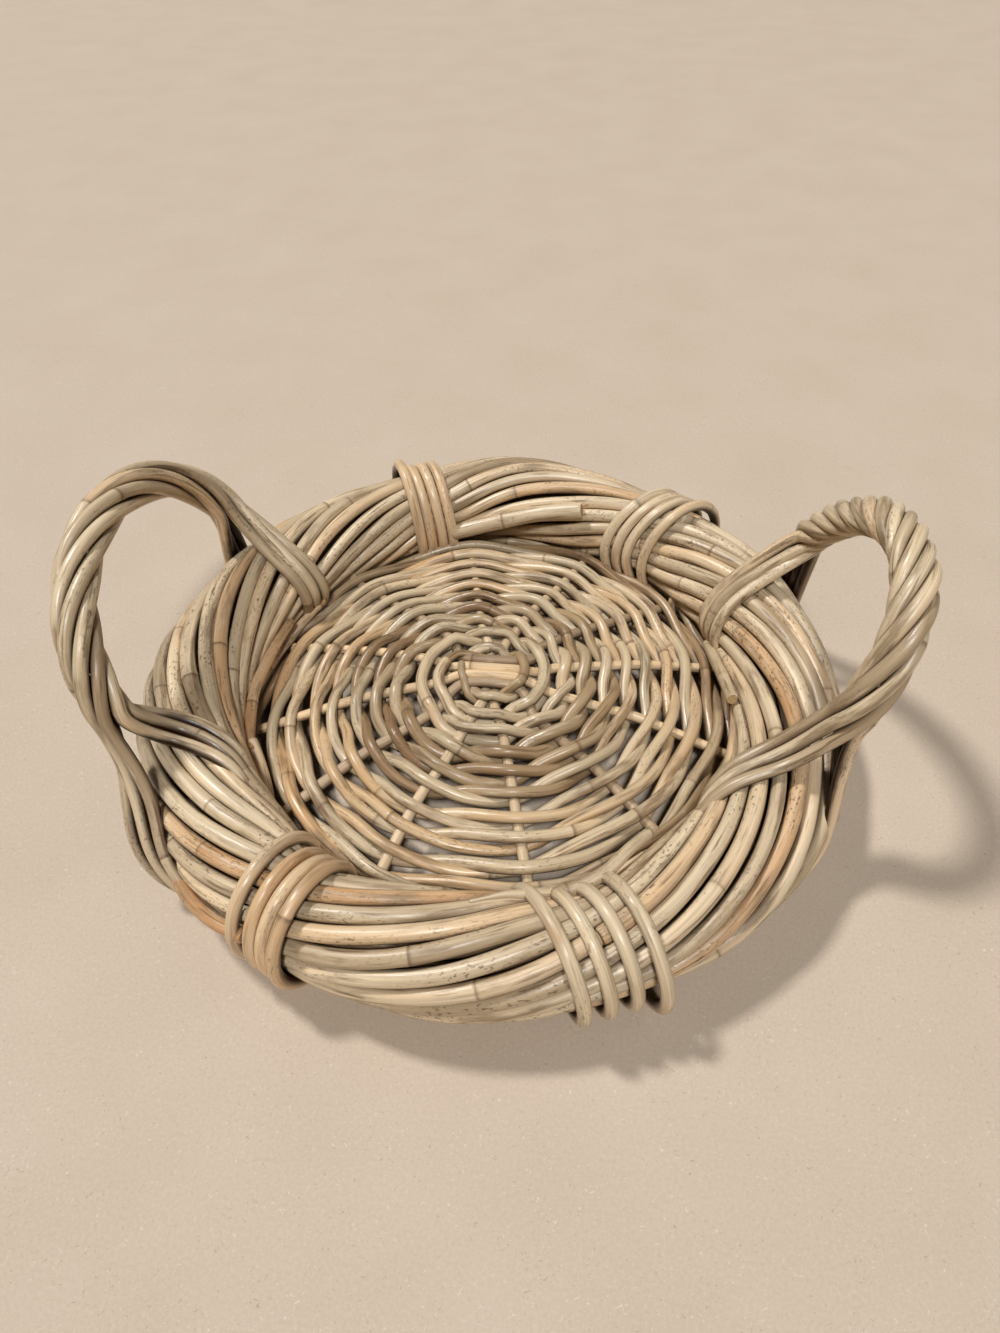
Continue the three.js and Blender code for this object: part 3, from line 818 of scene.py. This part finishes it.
def handle_line(handle, order):
    lean = math.asin((handle["reach"] - handle["foot"]) / handle["rise"])
    up = Vector((math.sin(lean), 0, math.cos(lean)))
    out = Vector((math.cos(lean), 0, -math.sin(lean)))
    across = Vector((0, 1, 0))
    start = math.tau * order / HANDLE_CANES
    twist = -math.tau * handle["turns"]

    def axis(sweep):
        aside = handle["width"] * math.cos(sweep) + handle["shift"]
        aside -= handle["skew"] * math.sin(sweep)
        middle = Vector((handle["foot"], 0, ROPE_FOOT))
        return middle + aside * across + handle["rise"] * math.sin(sweep) * up

    stations = foot_stations(handle, 0, start)[::-1]
    for step in range(ROPE_ENDS, ROPE_STEPS - ROPE_ENDS + 1):
        share = step / ROPE_STEPS
        sweep = math.pi * share
        along = (axis(sweep + HEADING_SWEEP) - axis(sweep - HEADING_SWEEP)).normalized()
        inward = out.cross(along)
        angle = start + twist * (share + handle["quickening"] * math.sin(sweep))
        stations.append(axis(sweep) + ROPE * (math.cos(angle) * out + math.sin(angle) * inward))
    stations += foot_stations(handle, 1, start + twist)
    turned = Matrix.Rotation(math.radians(handle["azimuth"]), 3, "Z")
    return eased([turned @ point for point in flowing_line(stations, LINE_STEPS)], EASING)


handle_cane = cane_finish("handle_cane", BARK_STOPS, pigment(142, 118, 88),
                          stains=0.8, specks=0.75, gloss=0.31)
HANDLE_TINTS = (0.45, 0.28, 0.55, 0.36, 0.62, 0.2)
for handle in HANDLES:
    side = handle["side"]
    lines = [handle_line(handle, order) for order in range(HANDLE_CANES)]
    hearts = [sum(points, Vector()) / HANDLE_CANES for points in zip(*lines)]

    def off_rope(place):
        return (place - min(hearts, key=lambda heart: (place - heart).length)).normalized()

    for order, line in enumerate(lines):
        name = f"{side}_handle_rod_{order + 1}"
        shell = new_shell()
        size = HANDLE_CANE * random.Random(name).uniform(*HANDLE_SIZES)
        tint = HANDLE_TINTS[order]
        lay_cane(shell, line, size, tint, name, spacing=0.003, sway=0.0004, outward=off_rope)
        node = f"{side}_handle_cane_{order + 1}"
        set_piece(shell, name, (handle_cane, cut_pith), "handle_cane", node)


# Lashings: one supple cane each, wound four times round the roll to bind it, with its ends tucked
# underneath. Their undersides are worn flat, and the tray stands on them.
LASHING_CANE = 0.0063
LASHING_LOOP = 0.03007
LASHING_CORE = 0.0062
LASHING_LOOPS = 3.9
LASHING_START = math.radians(216)
LOOP_STEPS = 60
APART_TURNS = (0.7, 1.1)
SLACK_SPAN = 0.2
LASHINGS = (
    {
        "name": "front_left", "space": 0.0006, "slant": 0.0, "apart": -0.0035,
        "loose": (3.6, 0.001), "tint": 0.74,
    },
    {
        "name": "front_right", "space": 0.0052, "slant": -0.003, "apart": 0.0,
        "loose": (3.7, 0.005), "tint": 0.5,
    },
    {
        "name": "back_right", "space": 0.0007, "slant": 0.0105, "apart": -0.005,
        "loose": (0.4, 0.003), "tint": 0.62,
    },
    {
        "name": "back_left", "space": 0.0006, "slant": 0.0, "apart": 0.0,
        "loose": (3.4, 0.004), "tint": 0.72,
    },
)


def lashing_line(lashing, middle):
    pitch = LASHING_CORE + lashing["space"]
    turned = Matrix.Rotation(middle, 3, "Z")
    steps = round(LASHING_LOOPS * LOOP_STEPS)
    slack_turn, slack = lashing["loose"]
    line = []
    for step in range(steps + 1):
        turns = LASHING_LOOPS * step / steps
        angle = LASHING_START - math.tau * turns
        along = (turns - LASHING_LOOPS / 2) * pitch - lashing["slant"] * math.cos(angle)
        along += lashing["apart"] * (1 - smooth_share(turns, *APART_TURNS))
        skew = math.asin(along / RIM_RADIUS)
        distance = LASHING_LOOP * drawn_in(middle + skew, angle)
        distance += slack * bell(turns - slack_turn, SLACK_SPAN)
        reach = RIM_RADIUS * math.cos(skew) + distance * math.cos(angle) / math.cos(skew)
        line.append(turned @ Vector((reach, along, ROLL_HEIGHT + distance * math.sin(angle))))
    return line


lashing_cane = cane_finish("lashing_cane", BARK_STOPS, pigment(164, 122, 80),
                           stains=0.45, specks=0.6, gloss=0.3)
for lashing, middle in zip(LASHINGS, LASHED_AT):
    name = lashing["name"]
    line = lashing_line(lashing, middle)
    shell = new_shell()
    lay_cane(shell, line, LASHING_CANE, lashing["tint"], name, spacing=0.0025, sway=0.00015,
             joints=(0.2, 0.4), outward=off_roll)
    for vert in shell.verts:
        vert.co.z = max(vert.co.z, 0)
    node = f"{name}_lashing"
    set_piece(shell, f"{name}_binding", (lashing_cane, cut_pith), "lashing_cane", node)


# Loose ends: lengths of cane that were pushed into the roll and stick out of it, most of them on
# its inner side. Each lies on the roll for a short way and ends in a plain cut.
LOOSE_STEPS = 10
LOOSE_ENDS = (
    (
        "back_cut_rod", 0.0094, 0.42, (1.0, 1.0),
        ((108, 186, 0.0295), (98, 176, 0.0300), (86, 161, 0.0305),
         (78, 148, 0.0305), (72, 138, 0.0300)),
    ),
    (
        "right_cut_rod", 0.0062, 0.2, (1.0, 1.0),
        ((22, 196, 0.0280), (10, 184, 0.0292), (3, 172, 0.0296), (-4, 160, 0.0298)),
    ),
    (
        "left_cut_rod", 0.0064, 0.62, (1.0, 1.0),
        ((-157, 184, 0.0292), (-151, 196, 0.0300), (-145, 212, 0.0305), (-140, 228, 0.0300)),
    ),
    (
        "left_low_rod", 0.0064, 0.98, (0.8, 0.9),
        ((163, 184, 0.0285), (172, 190, 0.0296), (186, 192, 0.0300),
         (198, 190, 0.0292), (206, 184, 0.0270)),
    ),
    (
        "left_back_rod", 0.0060, 0.85, (0.8, 0.9),
        ((150, 200, 0.0285), (160, 204, 0.0300), (172, 206, 0.0305), (184, 202, 0.0290)),
    ),
    (
        "front_tucked_rod", 0.0060, 0.45, (0.3, 0.8),
        ((-86, 112, 0.0294), (-80, 122, 0.0298), (-70, 136, 0.0300),
         (-62, 133, 0.0318), (-55, 140, 0.0325), (-47, 158, 0.0315)),
    ),
    (
        "front_low_rod", 0.0070, 1.0, (0.8, 1.0),
        ((-140, -16, 0.0280), (-132, -6, 0.0292), (-124, 8, 0.0292), (-118, 16, 0.0280)),
    ),
)
for name, size, tint, tips, places in LOOSE_ENDS:
    stations = []
    for azimuth, angle, distance in places:
        stations.append(beside_roll(math.radians(azimuth), math.radians(angle), distance))
    shell = new_shell()
    line = flowing_line(stations, LOOSE_STEPS)
    lay_cane(shell, line, size, tint, name, spacing=0.003, tips=tips, joints=(0.04, 0.09))
    set_piece(shell, name, (rim_cane, cut_pith), "rim_cane")


# Floor: a plain pale board of pressed wood fibres, which show as a trace of paler and darker
# flecks. It lies under the tray and takes its shadow.
FLOOR_HALF = 6
floor_finish, surface = new_finish("pale_board")
place = surface.node("TexCoord", output="Object")
cloud = surface.node("TexNoise", Vector=place, Scale=14.0, Detail=5.0)
fibres = surface.node("TexNoise", Vector=place, Scale=620.0, Detail=4.0, Roughness=0.7)
flecks = surface.node("TexNoise", Vector=place, Scale=330.0, Detail=1.0, Distortion=3.0)
tone = (fibres * 0.7 + cloud * 0.3).toward(pigment(180, 160, 136), pigment(220, 204, 186))
tone = (flecks.within(0.68, 0.76) * 0.5).toward(tone, pigment(232, 220, 204))
tone = ((1 - flecks.within(0.24, 0.31)) * 0.4).toward(tone, pigment(140, 112, 84))
surface.feed(surface.node("BsdfPrincipled", Base_Color=tone, Roughness=0.75))
board = bmesh.new()
bmesh.ops.create_grid(board, x_segments=1, y_segments=1, size=FLOOR_HALF)
floor_mesh = bpy.data.meshes.new("floor")
board.to_mesh(floor_mesh)
board.free()
floor_mesh.materials.append(floor_finish)
floor = bpy.data.objects.new("floor", floor_mesh)
bpy.context.scene.collection.objects.link(floor)


# Light: two lamps high above, one in front and one behind to the left, a weak wide one to the right
# and the faint light of a pale room.
def add_lamp(name, toward, strength, angle):
    lamp = bpy.data.lights.new(name, "SUN")
    lamp.energy = strength
    lamp.angle = math.radians(angle)
    holder = bpy.data.objects.new(name, lamp)
    holder.rotation_euler = (-Vector(toward)).to_track_quat("-Z", "Y").to_euler()
    bpy.context.scene.collection.objects.link(holder)


add_lamp("front_lamp", toward=(0.08, -0.50, 0.86), strength=1.7, angle=9)
add_lamp("back_lamp", toward=(-0.46, 0.22, 0.86), strength=1.95, angle=7)
add_lamp("side_lamp", toward=(0.62, 0.10, 0.76), strength=0.2, angle=40)
ROOM_COLOUR = (1.0, 0.88, 0.74, 1)
ROOM_LIGHT = 0.045
room = bpy.data.worlds.new("room")
room.use_nodes = True
backdrop = room.node_tree.nodes["Background"]
backdrop.inputs["Color"].default_value = ROOM_COLOUR
backdrop.inputs["Strength"].default_value = ROOM_LIGHT
bpy.context.scene.world = room


# Camera: it stands in front of the tray, a little to the right, and looks down on it, so that the
# whole base shows inside the roll.
LENS = 23.77
EYE = Vector((0.05017, -0.30974, 0.38808))
FORWARD = Vector((-0.09658, 0.66718, -0.73861))
UPWARD = Vector((-0.07121, 0.73554, 0.67373))
view = bpy.data.cameras.new("view")
view.lens = LENS
view.sensor_width = 36
view.clip_start = 0.01
camera = bpy.data.objects.new("view", view)
axes = Matrix((FORWARD.cross(UPWARD), UPWARD, -FORWARD)).transposed()
camera.matrix_world = Matrix.Translation(EYE) @ axes.to_4x4()
bpy.context.scene.collection.objects.link(camera)
bpy.context.scene.camera = camera
bpy.context.scene.view_settings.view_transform = "Standard"
